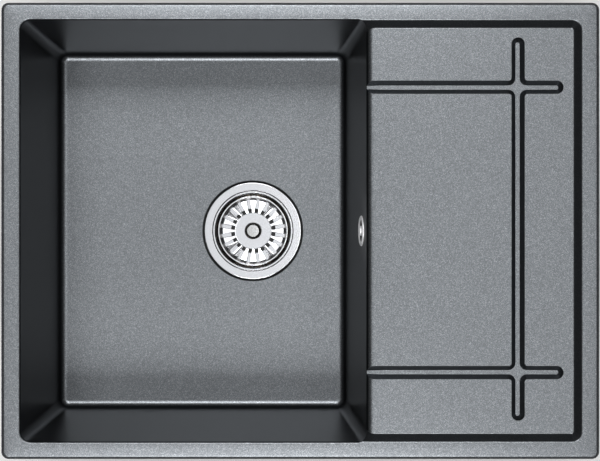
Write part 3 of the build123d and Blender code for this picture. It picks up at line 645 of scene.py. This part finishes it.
# faces at or behind the ring's foot, inside the holes and the collar, are marked inside: painted shade
standing = np.array(onWall["out"]) @ (faceValues(rose) - np.array(onWall["origin"])[:, None])
markFaces(rose, "inside", standing < rosette["inside"] * mm)

# the funnel below the waste body, with a pipe thread on its outlet that fades out at both ends
funnel = {"wall": 2.5, "skirt": 48.0, "crest": 23.9, "taper": 17.0, "round": 2.0, "mouthRound": 0.8,
          "pitch": 2.309, "deep": 1.2, "lead": 2.5, "rows": 110, "count": 120}
low, high = (np.array(corner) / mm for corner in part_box("waste_funnel"))
footZ = high[2] - funnel["taper"]
bore = funnel["crest"] - funnel["wall"]
inside = roundOutline([(bore, low[2], funnel["mouthRound"]),
                       (bore, footZ + funnel["wall"] / 2, funnel["round"]),
                       (funnel["skirt"] - funnel["wall"], high[2]), (funnel["skirt"], high[2]),
                       (funnel["crest"], footZ, funnel["round"])], False)
threadZ = np.linspace(footZ - funnel["round"], low[2], funnel["rows"])
outline = np.concatenate([inside, np.stack([funnel["crest"] + 0 * threadZ, threadZ], -1)])
fade = np.clip(np.minimum(threadZ[0] - threadZ, threadZ - threadZ[-1]) / funnel["lead"], 0, 1)[:, None]
relief = np.concatenate([np.zeros((len(inside), funnel["count"])), -fade * threadCut(threadZ, funnel)])
makePiece("waste_funnel", "wasteFunnel",
          [turnOutline(outline, upright(*drain), funnel["count"], relief=relief)])

# the two nuts that press the overflow pipe's seals: twelve sides, chamfered ends and a lip at the pipe
nut = {"flat": 17.7, "sides": 12, "corner": 18.25, "blank": 18.55, "face": 17.1, "bore": 14.1,
       "lipBore": 11.15, "lip": 4.0, "lipRound": 0.3, "chamfer": 1.2, "count": 144}
nutPlaces = {"inlet_nut": {"name": "inletNut", "axis": 0,
                           "across": (0, 0, -1), "along": (0, 1, 0), "out": (1, 0, 0)},
             "elbow_nut": {"name": "elbowNut", "axis": 2,
                           "across": (1, 0, 0), "along": (0, -1, 0), "out": (0, 0, -1)}}
for node, place in nutPlaces.items():
    low, high = (np.array(corner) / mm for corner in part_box(node))
    end = (high[place["axis"]] - low[place["axis"]]) / 2
    outline = roundOutline([(nut["bore"], -end), (nut["face"], -end), (nut["blank"], -end + nut["chamfer"]),
                            (nut["blank"], end - nut["chamfer"]), (nut["face"], end, nut["lipRound"]),
                            (nut["lipBore"], end, nut["lipRound"]), (nut["lipBore"], end - nut["lip"]),
                            (nut["bore"], end - nut["lip"])])
    limit = sidedRadius(nut["flat"], nut["sides"], nut["count"], nut["corner"])
    place["origin"] = (low + high) / 2 * mm
    makePiece(node, place["name"], [turnOutline(outline, place, nut["count"], True, limit)],
              joining["edgedTo"])

# the clips' screws: a chamfered hexagon head under each clip, and a thread up into its insert
screw = {"flat": 4.0, "sides": 6, "corner": 4.55, "blank": 4.75, "headHigh": 3.5, "face": 3.7, "chamfer": 0.5,
         "crest": 2.45, "pitch": 0.8, "deep": 0.4, "perTurn": 7, "count": 36}
low, high = (np.array(corner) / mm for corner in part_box("clip_screws"))
headZ = low[2] + screw["headHigh"]
threadZ = np.arange(headZ, high[2], screw["pitch"] / screw["perTurn"])
head = np.array([(0, low[2]), (screw["face"], low[2]), (screw["blank"], low[2] + screw["chamfer"]),
                 (screw["blank"], headZ), (screw["crest"], headZ)])
shank = np.stack([screw["crest"] + 0 * threadZ, threadZ], -1)
outline = np.concatenate([head, shank, [(0, threadZ[-1])]])
relief = np.concatenate([np.zeros((len(head), screw["count"])), -threadCut(threadZ, screw),
                         np.zeros((1, screw["count"]))])
limit = sidedRadius(screw["flat"], screw["sides"], screw["count"], screw["corner"])
pivots = [joint["pos_m"] for joint in behaviour["joints"] if joint["name"].endswith("_swing")]
makePiece("clip_screws", "clipScrews",
          [turnOutline(outline, upright(x, y), screw["count"], False, limit, relief) for x, y, _ in pivots],
          joining["edgedTo"])

# plainer pieces, as in the CAD with their folds eased by so many millimetres
plain = {"waste_body": ("wasteBody", 0.6), "overflow_elbow": ("overflowElbow", 0.6),
         "overflow_gasket": ("overflowGasket", 0.4), "waste_gasket": ("wasteGasket", 0.5),
         "rim_seal": ("rimSeal", 0.6), "right_front_clip": ("rightFrontClip", 0.4),
         "right_back_clip": ("rightBackClip", 0.4), "front_clip": ("frontClip", 0.4),
         "back_clip": ("backClip", 0.4)}
for node, (name, width) in plain.items():
    easedPiece(node, name, mergedNode(node), width * mm)
